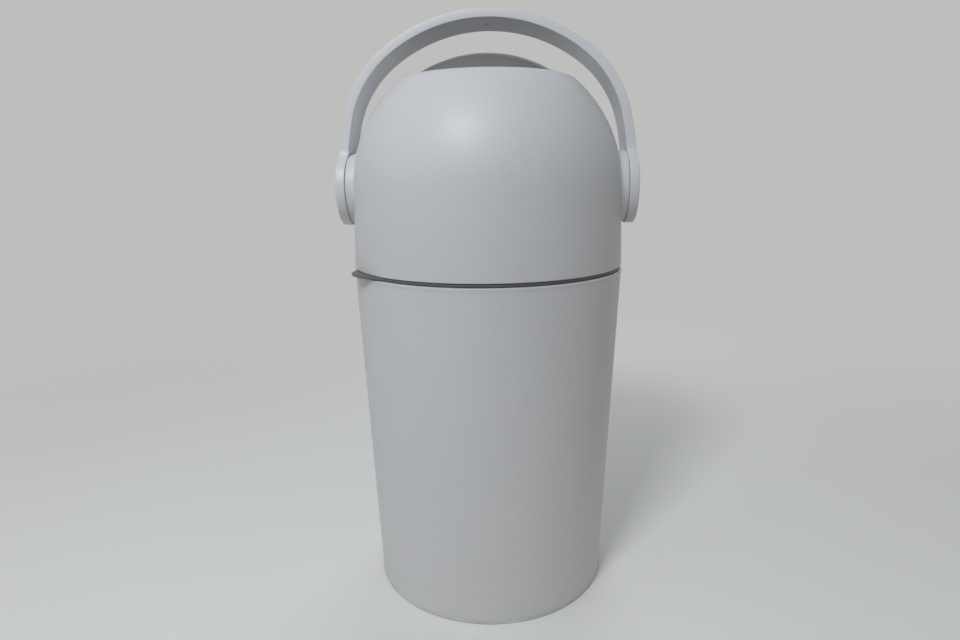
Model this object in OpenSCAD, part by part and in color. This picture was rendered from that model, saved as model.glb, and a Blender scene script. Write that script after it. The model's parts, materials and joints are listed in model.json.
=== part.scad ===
// Nappy bin with a flip handle.
// The handle turns a ball-shaped drum about a left-right axis. A bore runs through the drum and a
// loose piston slides in it, so each half turn drops what is in the bore into the bucket below.
// Millimetres. Origin at the centre of the base, +Z up, -Y is the front, +X the right-hand side.

/* [Bucket] */
// Outer radius of the bucket at its top edge
bucket_top_r = 140; // [136:1:150]
// Outer radius of the bucket at the floor
bucket_base_r = 126; // [110:1:138]
// Height of the bucket's top edge above the floor
bucket_h = 345; // [240:5:460]
// Wall thickness of the bucket
bucket_wall = 2.6; // [2:0.1:4]
// Depth of the round groove under the base plate
base_groove = 2; // [1:0.5:6]
// Radius of the flat pad in the middle of the base
base_pad_r = 45; // [20:1:70]
// Width of the ring round the base that the bucket stands on
base_foot_w = 9; // [5:0.5:20]
// Thickness of the base plate
base_plate = 3; // [2:0.5:6]
// Radius of the rounded edge at the floor
base_edge = 3; // [1:0.5:3.5]
// Width of the bead inside the bucket's top edge
rim_bead = 7; // [6:0.5:9]
// Height of the bead at its inner edge
bead_h = 4; // [2:0.5:8]

/* [Bag ring] */
// Thickness of the bag ring
ring_t = 4; // [3:0.25:6]
// How far the bag ring stands back from the bucket's top edge
ring_setback = 0.8; // [0.4:0.1:2]
// Depth of the skirt that holds the bag against the bucket
skirt_h = 22; // [12:1:30]
// Thickness of the skirt
skirt_wall = 2.4; // [1.6:0.1:3]
// Room for the bag between the skirt and the bucket's bead
bag_gap = 0.8; // [0.5:0.1:1.5]
// Inward lean of the skirt over its depth
skirt_draft = 1.2; // [1:0.1:2]
// How far the finger tab stands out of the ring
tab_reach = 7.5; // [5:0.5:16]
// Half of the angle that the finger tab spans on the ring
tab_half_angle = 17; // [12:1:26]
// Place of the finger tab, from the left side towards the front
tab_angle = 30; // [0:1:90]
// Width of the bevel round the finger tab
tab_bevel = 1; // [0.5:0.1:1.4]

/* [Head] */
// Height of the handle's axis above the bag ring
pivot_rise = 78; // [70:1:90]
// Height of the mouth's rim above the handle's axis
mouth_rise = 107; // [100:1:112]
// Radius of the rounding between the dome and the rim
rim_round = 20; // [8:1:26]
// Wall thickness of the dome
dome_wall = 2.8; // [2:0.1:3.4]
// How far the dome's lower edge stands back from the bucket's top edge
dome_setback = 0.6; // [0.2:0.1:2]
// Gap between the ball and the inside of the dome
ball_gap = 4.2; // [3.6:0.1:6]
// Gap between the ball and the rim of the mouth
rim_gap = 1.3; // [0.8:0.1:2.5]
// Radius of the round boss on each side
boss_r = 36; // [28:0.5:37]
// How far the boss stands out of the dome's widest line
boss_proud = 3.6; // [1:0.1:6]
// Depth of the spigot that enters the bag ring
spigot_h = 14; // [8:1:20]
// Thickness of the head's base plate and dish
dish_wall = 3; // [2:0.25:4]
// Gap between the spigot and the bag ring
spigot_gap = 1; // [0.6:0.1:2]
// Depth of the dish's opening below the handle's axis
dish_drop = 108; // [100:1:112]
// How far the upper seal lies below the rim of the mouth
seal_drop = 5.6; // [5:0.1:8]
// Height of the upper seal
seal_h = 9; // [5:0.5:12]
// Number of screws that hold the head's base plate
head_screw_count = 6; // [3:1:10]
// Length of those screws
head_screw_l = 14; // [10:1:20]

/* [Drum] */
// Radius of the ball-shaped drum
ball_r = 130; // [124:1:132]
// Wall thickness of the ball
ball_wall = 2.6; // [2:0.1:4]
// Inner radius of the bore tube
bore_r = 64; // [50:1:68]
// Wall thickness of the bore tube
tube_wall = 2.4; // [1.6:0.1:3]
// How far each bore ring reaches inwards to stop the piston
stop_lip = 4; // [2:0.5:8]
// Width of a bore ring outside the bore tube
ring_land = 8; // [7:0.5:9]
// Half of the length of the bore tube
tube_half = 100; // [85:1:102]
// Radius of the axles
axle_r = 12; // [8:0.5:16]
// Length of the axle inside the drum's hub
hub_depth = 26; // [16:1:32]
// Wall thickness of the drum's hubs
hub_wall = 6; // [3:0.5:10]
// Wall thickness of the bushes
bush_wall = 3; // [2:0.25:5]

/* [Piston] */
// Length of the piston
piston_h = 56; // [30:1:90]
// Gap between the piston and the bore tube
piston_gap = 0.5; // [0.35:0.05:1.5]
// Wall thickness of the piston
piston_wall = 2.6; // [2:0.1:4]
// Width of the seal round the piston
piston_seal_w = 5; // [3:0.5:9]

/* [Handle] */
// Backward lean of the handle at rest
lean = 7.2; // [0:0.1:12]
// Width of the handle's band
band_w = 42.5; // [24:0.5:54]
// Thickness of the handle's band and discs
band_t = 9.3; // [7:0.1:12]
// Radius of the discs at the ends of the handle
disc_r = 37.5; // [32:0.5:44]
// Gap between a boss and its disc
disc_gap = 0.8; // [0.5:0.1:4]
// Radius of the fillets between the band and a disc
disc_fillet = 14; // [12:1:34]
// Height of the straight part of an arm above the axis
arm_straight = 5; // [0:0.5:14]
// Radius of the arm's gentle bend
arm_bend_r = 325; // [220:5:400]
// Gap between a boss's rim and the relief inside the arm
boss_relief = 1; // [0.5:0.1:3]
// Angle that the arm's gentle bend turns
arm_bend_angle = 11.1; // [9:0.1:14]
// Radius of the handle's shoulder
shoulder_r = 110; // [100:1:120]
// Angle that the shoulder turns
shoulder_angle = 40; // [34:1:46]
// Radius of the cap over each handle screw
cap_r = 20; // [14:0.5:24]

/* [Hinge] */
// Radius of the hinge pin
pin_r = 2; // [1.5:0.25:2.5]
// Outer radius of the knuckles
knuckle_r = 5; // [4.5:0.25:6]
// Half of the hinge's width
hinge_half = 30; // [24:1:45]
// Gap between the bucket's top edge and the knuckles
hinge_gap = 1.5; // [1.2:0.1:4]
// Gap between neighbouring knuckles
knuckle_gap = 0.4; // [0.2:0.05:1]
// Height of the web that joins each knuckle to its wall
knuckle_web_h = 24; // [12:1:40]

/* [Fits] */
// Radial clearance of the axles and of the hinge pin where they turn
running_gap = 0.05; // [0.02:0.01:0.09]
// Clearance of pieces that are fixed in each other
fixed_gap = 0.05; // [0.02:0.01:0.15]
// Gap between each seal and the face that it rubs on
seal_gap = 0.3; // [0.3:0.05:0.6]

/* [Hidden] */
$fn = 96;

white = [0.88, 0.89, 0.91];
grey = [0.45, 0.45, 0.47];
rubber = [0.2, 0.2, 0.21];
steel = [0.7, 0.71, 0.73];

over = 1;                                   // how far a cut runs past a face
ring_z = bucket_h;                          // underside of the bag ring
head_z = ring_z + ring_t;                   // underside of the head
pivot_z = head_z + pivot_rise;              // the handle's axis
dome_r = ball_r + ball_gap + dome_wall;     // outer radius of the dome about the axis
dome_base_r = bucket_top_r - dome_setback;
boss_x = dome_r + boss_proud;               // outer face of a boss
disc_x = boss_x + disc_gap;                 // inner face of a disc

// The dome's wall is a cone that meets the sphere on a tangent.
base_slant = norm([dome_base_r, pivot_rise]);
tangent_angle = acos(dome_r / base_slant) - atan2(pivot_rise, dome_base_r);
rim_round_x = norm_left(dome_r - rim_round, mouth_rise - rim_round);
rim_round_angle = atan2(mouth_rise - rim_round, rim_round_x);

ring_r = bucket_top_r - ring_setback;
bead_r = bucket_top_r - rim_bead;           // inner radius of the bucket's bead
bead_slope_h = 8;                           // height of the slope under the bead
skirt_r = bead_r - bag_gap;
ring_lip = 1.6;                             // how far the bag ring reaches inside its skirt
ring_in_r = skirt_r - skirt_draft - skirt_wall - ring_lip;
spigot_r = ring_in_r - spigot_gap;
bucket_lean = atan2(bucket_top_r - bucket_base_r, bucket_h);

hinge_y = bucket_top_r + hinge_gap + knuckle_r;
hinge_z = ring_z + ring_t / 2;
knuckle_step = hinge_half / 3;
knuckle_root = 4;                           // how deep a web starts behind the bucket's top edge

tube_r = bore_r + tube_wall;
bore_ring_r = tube_r + ring_land;
ring_screw_depth = 3;                       // how far a bore ring screw's head lies from the tube's end
hub_r = axle_r + hub_wall;
hub_in = ball_r - hub_depth;
key_half = axle_r * 0.78;                   // half of the width over an axle's flats
bush_r = axle_r + running_gap + bush_wall;
bush_flange_r = bush_r + 5;
bush_flange_t = 1.6;
bush_seat = ball_r + ball_gap - 0.2;        // flat seat of a bush's flange
axle_in = hub_in + 1;
screw_r = 2;
screw_core_r = 1.4;                         // hole in a plastic post for the thread to cut into
screw_head_r = 4;
screw_head_t = 1.6;
ring_screw_head_r = 3.2;
ring_screw_l = 10;
handle_screw_l = 18;
cap_t = 2;
cap_x = disc_x + band_t - cap_t;            // floor of a cap's recess, flush with the screw's head
axle_end = cap_x - screw_head_t - 1.6;      // axle's outer end, with a web left under the screw's head

dish_r = ball_r + 3;                        // inner radius of the dish under the ball
seal_top = mouth_rise - seal_drop;          // upper edge of the upper seal, above the axis
seal_low = seal_top - seal_h;
seal_t = ball_gap - seal_gap - 0.6;
seal_ring_h = 7;

head_post_r = 5.5;                          // posts that take the screws of the head's base plate
head_post_h = 22;
head_screw_circle = spigot_r + head_post_r;

piston_r = bore_r - piston_gap;
piston_y = tube_half - piston_h / 2 - 0.1;  // centre of the piston at rest, towards the rear
seal_groove = 4;

// Centres and angles of the handle's arcs, in its own upright plane.
arm_x = disc_x + band_t / 2;
bend_x = arm_x - arm_bend_r;
shoulder_x = bend_x + (arm_bend_r - shoulder_r) * cos(arm_bend_angle);
shoulder_z = arm_straight + (arm_bend_r - shoulder_r) * sin(arm_bend_angle);
crown_angle = arm_bend_angle + shoulder_angle;
crown_r = shoulder_r + shoulder_x / cos(crown_angle);
crown_z = shoulder_z - (crown_r - shoulder_r) * sin(crown_angle);

// ---------------------------------------------------------------- frames and helpers

// The other short side of a right triangle with this long side and this short side.
function norm_left(long, short) = sqrt(long * long - short * short);

module at_pivot() translate([0, 0, pivot_z]) children();

// The handle's own frame: +Z up the handle, +Y along the bore to the rear.
module leaning() at_pivot() rotate([-lean, 0, 0]) children();

// Draws its children on the right, or mirrored on the left.
module on_side(side) {
    if (side > 0) children();
    else mirror([1, 0, 0]) children();
}

// Cylinder along X from x0 to x1.
module rod_x(r, x0, x1) {
    translate([x0, 0, 0]) rotate([0, 90, 0]) cylinder(r = r, h = x1 - x0);
}

// Cylinder along Y from y0 to y1.
module rod_y(r, y0, y1) {
    translate([0, y0, 0]) rotate([-90, 0, 0]) cylinder(r = r, h = y1 - y0);
}

module tube_y(r_out, r_in, y0, y1) {
    difference() {
        rod_y(r_out, y0, y1);
        rod_y(r_in, y0 - over, y1 + over);
    }
}

// Ring round Z with a square section.
module ring_z_axis(r_out, r_in, z0, z1) {
    translate([0, 0, z0]) difference() {
        cylinder(r = r_out, h = z1 - z0);
        translate([0, 0, -over]) cylinder(r = r_in, h = z1 - z0 + 2 * over);
    }
}

// Zone of a hollow sphere between two heights.
module sphere_zone(r_out, r_in, z0, z1) {
    difference() {
        intersection() {
            sphere(r = r_out);
            translate([0, 0, z0]) cylinder(r = r_out + over, h = z1 - z0);
        }
        sphere(r = r_in);
    }
}

// Countersunk or pan screw along +Z, its head's top face at z = 0 and its tip below.
module screw(shank_r, head_r, head_t, length) {
    difference() {
        translate([0, 0, -head_t]) cylinder(r = head_r, h = head_t);
        translate([0, 0, -head_t / 2]) cube([head_r * 1.3, 0.8, head_t + over], center = true);
        translate([0, 0, -head_t / 2]) cube([0.8, head_r * 1.3, head_t + over], center = true);
    }
    translate([0, 0, -length]) cylinder(r = shank_r, h = length - head_t * 0.75);
}

// ---------------------------------------------------------------- bucket

module bucket_outline(inset, z0) {
    low = bucket_base_r - inset / cos(bucket_lean) + z0 * tan(bucket_lean);
    high = bucket_top_r - inset / cos(bucket_lean);
    polygon([[0, z0], [low, z0], [high, bucket_h], [0, bucket_h]]);
}

// Rounds the outer corner at the floor.
module base_corner() {
    centre_x = bucket_base_r - base_edge * (1 - sin(bucket_lean)) / cos(bucket_lean);
    difference() {
        translate([centre_x, -over]) square([base_edge + over, base_edge + over]);
        translate([centre_x, base_edge]) circle(r = base_edge);
    }
}

module bucket_knuckles() {
    for (side = [-1, 1]) {
        on_side(side) translate([knuckle_step * 2 + knuckle_gap, 0, 0]) rotate([90, 0, 90])
            linear_extrude(knuckle_step - knuckle_gap) union() {
                translate([hinge_y, hinge_z]) circle(r = knuckle_r);
                polygon([[bucket_top_r - knuckle_root, bucket_h - knuckle_web_h],
                         [hinge_y + knuckle_r * cos(30), hinge_z - knuckle_r * sin(30)],
                         [hinge_y, hinge_z],
                         [hinge_y - knuckle_r * 0.8, bucket_h - 0.4],
                         [bucket_top_r - knuckle_root, bucket_h - 0.4]]);
            }
    }
}

module bucket() {
    color(white) difference() {
        union() {
            rotate_extrude() difference() {
                bucket_outline(0, 0);
                bucket_outline(bucket_wall, base_groove + base_plate);
                translate([base_pad_r, -over]) square([bucket_base_r - base_foot_w - base_pad_r, base_groove + over]);
                base_corner();
            }
            rotate_extrude() polygon([
                [bead_r, bucket_h], [bead_r, bucket_h - bead_h],
                [bucket_top_r - bucket_wall, bucket_h - bead_h - bead_slope_h],
                [bucket_top_r - bucket_wall / 2, bucket_h - bead_h - bead_slope_h],
                [bucket_top_r - bucket_wall / 2, bucket_h]]);
            bucket_knuckles();
        }
        translate([0, hinge_y, hinge_z]) rod_x(pin_r + fixed_gap, -hinge_half - over, hinge_half + over);
    }
}

// ---------------------------------------------------------------- bag ring

// Flat ring with a round outer edge.
module ring_plate() {
    edge_x = ring_r - ring_t / 2;
    rotate_extrude() {
        translate([edge_x, ring_t / 2]) circle(r = ring_t / 2);
        translate([ring_in_r, 0]) square([edge_x - ring_in_r, ring_t]);
    }
}

// A disc whose edge crosses the ring's edge at both ends of the tab.
module finger_tab() {
    tip = ring_r + tab_reach;
    end_x = ring_r * cos(tab_half_angle);
    end_y = ring_r * sin(tab_half_angle);
    centre = (tip * tip - end_x * end_x - end_y * end_y) / (2 * (tip - end_x));
    r = tip - centre;
    rotate([0, 0, 180 + tab_angle]) translate([centre, 0, 0]) rotate_extrude()
        polygon([[0, 0], [r - tab_bevel, 0], [r, tab_bevel],
                 [r, ring_t - tab_bevel], [r - tab_bevel, ring_t], [0, ring_t]]);
}

module ring_knuckles() {
    for (side = [-1, 1]) {
        on_side(side) translate([knuckle_step + knuckle_gap, 0, 0]) rotate([90, 0, 90])
            linear_extrude(knuckle_step - knuckle_gap) union() {
                translate([hinge_y, hinge_z]) circle(r = knuckle_r);
                translate([ring_r - 5, ring_z]) square([hinge_y - ring_r + 5, ring_t]);
            }
    }
}

module bag_ring() {
    color(grey) difference() {
        union() {
            translate([0, 0, ring_z]) ring_plate();
            translate([0, 0, ring_z]) difference() {
                finger_tab();
                translate([0, 0, -over]) cylinder(r = ring_r - 6, h = ring_t + 2 * over);
            }
            rotate_extrude() polygon([
                [skirt_r, ring_z + 1], [skirt_r - skirt_draft, ring_z - skirt_h],
                [skirt_r - skirt_draft - skirt_wall, ring_z - skirt_h], [skirt_r - skirt_wall, ring_z + 1]]);
            ring_knuckles();
        }
        translate([0, hinge_y, hinge_z]) rod_x(pin_r + running_gap, -hinge_half, hinge_half);
    }
}

module hinge_pin() {
    color(steel) translate([0, hinge_y, hinge_z]) rod_x(pin_r, -hinge_half - 0.5, hinge_half + 0.5);
}

// ---------------------------------------------------------------- head

// Solid inside the dome's outer face, less an inset, from below the axis to the rim.
module dome_solid(inset, below) {
    r = dome_r - inset;
    base_r = dome_base_r - inset / cos(tangent_angle) + below * tan(tangent_angle);
    rotate_extrude() {
        intersection() {
            circle(r = r);
            translate([0, r * sin(tangent_angle)])
                square([r, r * (sin(rim_round_angle) - sin(tangent_angle))]);
        }
        polygon([[0, -pivot_rise - below], [base_r, -pivot_rise - below],
                 [r * cos(tangent_angle), r * sin(tangent_angle)], [0, r * sin(tangent_angle)]]);
        translate([rim_round_x, mouth_rise - rim_round]) circle(r = rim_round - inset);
        square([rim_round_x, mouth_rise - inset]);
    }
}

module head_knuckle() {
    rotate([90, 0, 90]) translate([0, 0, -knuckle_step]) linear_extrude(2 * knuckle_step) union() {
        translate([hinge_y, hinge_z]) circle(r = knuckle_r);
        polygon([[dome_base_r - dome_wall / 2, head_z + knuckle_web_h],
                 [hinge_y + knuckle_r * cos(30), hinge_z + knuckle_r * sin(30)],
                 [hinge_y, hinge_z],
                 [hinge_y - knuckle_r * 0.8, head_z + 0.4],
                 [dome_base_r - dome_wall / 2, head_z + 0.4]]);
    }
}

module head_screw_places() {
    for (i = [0 : head_screw_count - 1]) {
        rotate([0, 0, (i + 0.5) * 360 / head_screw_count]) translate([head_screw_circle, 0, 0]) children();
    }
}

// Post for a screw, with a rib that joins it to the wall.
module head_post() {
    cylinder(r = head_post_r, h = head_post_h);
    translate([0, -dome_wall / 2, 0]) cube([bucket_top_r - head_screw_circle, dome_wall, head_post_h]);
}

module dome_shell() {
    color(white) difference() {
        union() {
            at_pivot() difference() {
                union() {
                    dome_solid(0, 0);
                    for (side = [-1, 1]) on_side(side) rod_x(boss_r, dome_r - 20, boss_x);
                }
                dome_solid(dome_wall, over);
                sphere(r = ball_r + rim_gap);
                for (side = [-1, 1]) {
                    on_side(side) rod_x(bush_r + fixed_gap, dome_r - 20, boss_x + over);
                    on_side(side) rod_x(bush_flange_r + fixed_gap, dome_r - 20, bush_seat);
                }
            }
            intersection() {
                head_screw_places() translate([0, 0, head_z + dish_wall]) head_post();
                at_pivot() dome_solid(dome_wall / 2, 0);
            }
            head_knuckle();
        }
        translate([0, hinge_y, hinge_z]) rod_x(pin_r + running_gap, -hinge_half, hinge_half);
        head_screw_places() translate([0, 0, head_z]) cylinder(r = screw_core_r, h = head_post_h);
    }
}

module head_base() {
    plate_r = dome_base_r - dome_wall / cos(tangent_angle) - 2 * fixed_gap;
    color(grey) difference() {
        union() {
            difference() {
                union() {
                    ring_z_axis(plate_r, norm_left(dish_r, pivot_rise) - over, head_z, head_z + dish_wall);
                    at_pivot() sphere_zone(dish_r + dish_wall, dish_r, -dish_drop, -pivot_rise + dish_wall);
                }
                at_pivot() sphere(r = dish_r);
            }
            ring_z_axis(spigot_r, spigot_r - dish_wall, head_z - spigot_h, head_z + dish_wall);
        }
        translate([0, 0, hinge_z]) rotate_extrude() translate([spigot_r - 0.8, 0]) circle(r = 1.5 + fixed_gap);
        head_screw_places() {
            translate([0, 0, head_z - over]) cylinder(r = screw_r + fixed_gap, h = dish_wall + 2 * over);
            translate([0, 0, head_z - over]) cylinder(r = screw_head_r + fixed_gap, h = screw_head_t + 0.3 + over);
        }
    }
}

module head_screws() {
    color(steel) head_screw_places() translate([0, 0, head_z + 0.3]) rotate([180, 0, 0])
        screw(screw_core_r - fixed_gap, screw_head_r, screw_head_t, head_screw_l);
}

module head_gasket() {
    color(rubber) translate([0, 0, hinge_z]) rotate_extrude() translate([spigot_r - 0.8, 0]) circle(r = 1.5);
}

module upper_seal() {
    color(rubber) at_pivot() sphere_zone(ball_r + seal_gap + seal_t, ball_r + seal_gap, seal_low, seal_top);
}

module mouth_collar() {
    color(grey) at_pivot() sphere_zone(ball_r + ball_gap - fixed_gap, ball_r + 1.5,
                                       seal_low - seal_ring_h, seal_low - fixed_gap);
}

module lower_seal() {
    color(rubber) at_pivot() sphere_zone(dish_r - fixed_gap, ball_r + seal_gap, -dish_drop, -dish_drop + seal_ring_h);
}

module seal_retainer() {
    color(grey) at_pivot() sphere_zone(dish_r + dish_wall, ball_r + 1.5,
                                       -dish_drop - dish_wall - fixed_gap, -dish_drop - fixed_gap);
}

module bush(side) {
    color(grey) at_pivot() on_side(side) difference() {
        union() {
            rod_x(bush_r, bush_seat - bush_flange_t, boss_x - 0.2);
            rod_x(bush_flange_r, bush_seat - bush_flange_t, bush_seat - fixed_gap);
        }
        rod_x(axle_r + running_gap, bush_seat - bush_flange_t - over, boss_x + over);
    }
}

module bush_left() bush(-1);

module bush_right() bush(1);

// ---------------------------------------------------------------- drum

// Section of an axle: round with two flats.
module keyed_rod(r, x0, x1) {
    intersection() {
        rod_x(r, x0, x1);
        translate([x0, -r, -key_half - r + axle_r]) cube([x1 - x0, 2 * r, 2 * (key_half + r - axle_r)]);
    }
}

module axle(side) {
    color(steel) leaning() on_side(side) difference() {
        union() {
            keyed_rod(axle_r, axle_in, axle_end);
            rod_x(axle_r, ball_r + 0.6, disc_x - 0.3);
        }
        rod_x(screw_r + fixed_gap, axle_end - handle_screw_l, axle_end + over);
    }
}

module axle_left() axle(-1);

module axle_right() axle(1);

// Section of the ball on one side of the bore's axis: (distance from that axis, distance along it).
module drum_section() {
    bulkhead_r = norm_left(ball_r, tube_half) - 0.4;
    difference() {
        intersection() {
            circle(r = ball_r);
            translate([bore_ring_r + fixed_gap, -ball_r]) square([ball_r, 2 * ball_r]);
        }
        circle(r = ball_r - ball_wall);
    }
    for (end = [-1, 1]) {
        translate([tube_r + fixed_gap, end > 0 ? tube_half - ball_wall : -tube_half])
            square([bulkhead_r - tube_r - fixed_gap, ball_wall]);
    }
}

// Half of the ball, above (upper = 1) or below (upper = -1) the plane of the axles and the bore.
module drum_half(upper) {
    hub_out = ball_r - ball_wall * 0.75;
    difference() {
        union() {
            rotate([-90, 0, 0]) rotate([0, 0, upper > 0 ? 180 : 0]) rotate_extrude(angle = 180) drum_section();
            intersection() {
                for (side = [-1, 1]) on_side(side) rod_x(hub_r, hub_in, hub_out);
                translate([-ball_r, -ball_r, upper > 0 ? 0 : -ball_r]) cube([2 * ball_r, 2 * ball_r, ball_r]);
            }
        }
        for (side = [-1, 1]) on_side(side) keyed_rod(axle_r + fixed_gap, hub_in - over, ball_r + over);
        bore_ring_screw_places() rod_y(screw_r + fixed_gap, tube_half - ring_screw_l, tube_half + over);
    }
}

module drum_upper() color(grey) leaning() drum_half(1);

module drum_lower() color(grey) leaning() drum_half(-1);

module bore_tube() {
    color(grey) leaning() tube_y(tube_r, bore_r, -tube_half + fixed_gap, tube_half - fixed_gap);
}

// Four screws at each end of the bore, clear of the plane where the halves meet.
module bore_ring_screw_places() {
    for (end = [0, 180]) {
        for (turn = [45 : 90 : 315]) {
            rotate([0, 0, end]) rotate([0, turn, 0]) translate([tube_r + ring_land / 2, 0, 0]) children();
        }
    }
}

module bore_ring(end) {
    color(grey) leaning() difference() {
        intersection() {
            sphere(r = ball_r);
            rotate([0, 0, end]) tube_y(bore_ring_r, bore_r - stop_lip, tube_half, ball_r);
        }
        bore_ring_screw_places() rod_y(screw_r + fixed_gap, tube_half - over, ball_r);
        bore_ring_screw_places() rod_y(ring_screw_head_r + fixed_gap, tube_half + ring_screw_depth, ball_r);
    }
}

module bore_ring_front() bore_ring(180);

module bore_ring_rear() bore_ring(0);

module bore_ring_screws() {
    color(steel) leaning() bore_ring_screw_places()
        translate([0, tube_half + ring_screw_depth + screw_head_t, 0]) rotate([-90, 0, 0])
            screw(screw_r, ring_screw_head_r, screw_head_t, ring_screw_l);
}

// ---------------------------------------------------------------- piston

// One closed end of the piston: a cup that opens towards the seal in the middle.
module piston_cup() {
    half = piston_h / 2;
    difference() {
        union() {
            rod_y(piston_r, piston_seal_w / 2, half - 2);
            rod_y(piston_r - 2, half - 2 - over, half);
            rod_y(piston_r - seal_groove, 0, half - over);
        }
        rod_y(piston_r - seal_groove - piston_wall, -over, half - piston_wall);
    }
}

module in_bore() leaning() translate([0, piston_y, 0]) children();

module piston_rear() color(white) in_bore() piston_cup();

module piston_front() color(white) in_bore() rotate([0, 0, 180]) piston_cup();

module piston_seal() {
    color(rubber) in_bore() tube_y(bore_r - seal_gap, piston_r - seal_groove + fixed_gap,
                                   -piston_seal_w / 2 + fixed_gap, piston_seal_w / 2 - fixed_gap);
}

// ---------------------------------------------------------------- handle

// Points of an arc in the handle's plane.
function arc(cx, cz, r, a0, a1, steps) =
    [for (i = [0 : steps]) let (a = a0 + (a1 - a0) * i / steps) [cx + r * cos(a), cz + r * sin(a)]];

// Right half of the handle's front view, from below the disc to the crown, moved outwards by an offset.
function arch_half(offset) = concat(
    [[arm_x + offset, -disc_r - over]],
    arc(bend_x, arm_straight, arm_bend_r + offset, 0, arm_bend_angle, 5),
    arc(shoulder_x, shoulder_z, shoulder_r + offset, arm_bend_angle + 2, crown_angle, 16),
    arc(0, crown_z, crown_r + offset, crown_angle + 2, 90, 18));

function mirrored(points) = [for (i = [len(points) - 1 : -1 : 0]) [-points[i][0], points[i][1]]];

function turned(points) = [for (i = [len(points) - 1 : -1 : 0]) points[i]];

function arch(offset) = concat(arch_half(offset), mirrored([for (p = arch_half(offset)) if (p[0] > 0.01) p]));

// Side view of a disc with its neck and the band, drawn as (Y, Z).
module side_outline() {
    reach = disc_r + disc_fillet;
    fillet_y = band_w / 2 + disc_fillet;
    fillet_z = norm_left(reach, fillet_y);
    circle(r = disc_r);
    translate([-band_w / 2, 0]) square([band_w, crown_z + crown_r + band_t]);
    difference() {
        translate([-disc_r, 0]) square([2 * disc_r, fillet_z]);
        for (side = [-1, 1]) translate([side * fillet_y, fillet_z]) circle(r = disc_fillet);
    }
}

// The band with its discs. The arms are relieved inside, so that their bend clears the bosses.
module hoop() {
    reach_x = disc_x + band_t + over;
    difference() {
        intersection() {
            rotate([90, 0, 0]) linear_extrude(2 * disc_r + 2 * over, center = true)
                polygon(concat(arch(band_t / 2), turned(arch(-band_t / 2))));
            rotate([90, 0, 90]) linear_extrude(2 * reach_x, center = true) side_outline();
        }
        for (side = [-1, 1]) on_side(side) rod_x(boss_r + boss_relief, dome_r, disc_x);
    }
}

module handle() {
    color(white) leaning() difference() {
        hoop();
        for (side = [-1, 1]) {
            on_side(side) keyed_rod(axle_r + fixed_gap, disc_x - over, axle_end + 0.1);
            on_side(side) rod_x(screw_r + fixed_gap, disc_x, cap_x);
            on_side(side) rod_x(screw_head_r + fixed_gap, cap_x - screw_head_t - fixed_gap, cap_x + over);
            on_side(side) rod_x(cap_r + fixed_gap, cap_x, disc_x + band_t + over);
        }
    }
}

module handle_cap(side) {
    color(white) leaning() on_side(side)
        rod_x(cap_r, cap_x + fixed_gap, disc_x + band_t);
}

module handle_cap_left() handle_cap(-1);

module handle_cap_right() handle_cap(1);

module handle_screws() {
    color(steel) leaning() for (side = [-1, 1]) {
        on_side(side) translate([cap_x, 0, 0]) rotate([0, 90, 0])
            screw(screw_r, screw_head_r, screw_head_t, handle_screw_l);
    }
}

bucket();
bag_ring();
hinge_pin();
dome_shell();
head_base();
head_screws();
head_gasket();
mouth_collar();
upper_seal();
lower_seal();
seal_retainer();
bush_left();
bush_right();
drum_upper();
drum_lower();
bore_tube();
bore_ring_front();
bore_ring_rear();
bore_ring_screws();
axle_left();
axle_right();
piston_front();
piston_rear();
piston_seal();
handle();
handle_cap_left();
handle_cap_right();
handle_screws();
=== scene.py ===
"""Looks of the nappy bin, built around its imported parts. Metres, +Z up, -Y is the front."""
import json
import math

import bmesh
import bpy
from mathutils import Matrix, Vector


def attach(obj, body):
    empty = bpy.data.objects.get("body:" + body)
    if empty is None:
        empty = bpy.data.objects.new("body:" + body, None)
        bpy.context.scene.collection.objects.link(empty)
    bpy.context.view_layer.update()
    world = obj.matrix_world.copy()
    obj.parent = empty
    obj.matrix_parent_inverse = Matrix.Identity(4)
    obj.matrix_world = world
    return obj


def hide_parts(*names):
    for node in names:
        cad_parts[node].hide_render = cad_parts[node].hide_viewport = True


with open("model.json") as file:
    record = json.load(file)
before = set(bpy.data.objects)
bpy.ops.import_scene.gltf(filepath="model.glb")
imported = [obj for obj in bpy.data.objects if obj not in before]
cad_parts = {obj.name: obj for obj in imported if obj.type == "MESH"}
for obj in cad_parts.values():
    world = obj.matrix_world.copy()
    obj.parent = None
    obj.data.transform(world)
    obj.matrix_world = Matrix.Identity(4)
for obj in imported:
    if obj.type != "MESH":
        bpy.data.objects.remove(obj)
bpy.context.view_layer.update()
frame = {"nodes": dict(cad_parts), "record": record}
nodes = frame["nodes"]
scene = bpy.context.scene

# ---------------------------------------------------------------- sizes, in metres

mm = 0.001

bucket_top_r = 140 * mm
bucket_base_r = 126 * mm
bucket_h = 345 * mm
bucket_wall = 2.6 * mm
base_groove = 2 * mm
base_plate = 3 * mm
base_inner_round = 3 * mm                    # rounding where the bucket's wall meets its floor inside
base_pad_r = 45 * mm
base_foot_w = 9 * mm
rim_bead = 7 * mm
bead_h = 4 * mm
bead_slope_h = 12 * mm
bead_r = bucket_top_r - rim_bead

ring_t = 4 * mm
ring_setback = 0.8 * mm
ring_r = bucket_top_r - ring_setback
ring_in_r = 127 * mm
reveal = 3 * mm                              # how deep the dark lines above and below the ring go
face_inset = 1.2 * mm                        # how far the ring's face stands back beside the tab
reveal_top = 0.4 * mm
reveal_low = 0.8 * mm
skirt_r = 132.2 * mm
skirt_h = 22 * mm
skirt_wall = 2.4 * mm
skirt_draft = 1.2 * mm
tab_tip_r = 148.7 * mm
tab_angle = math.radians(180 + 30)           # where the finger tab's tip stands
tab_front = math.radians(21)                 # how far the tab runs to the front of its tip
tab_back = math.radians(11)                  # and behind it
tab_margin = 1.05                            # share of the tab's reach that gets the finer sections
tab_steps = 120

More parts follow.
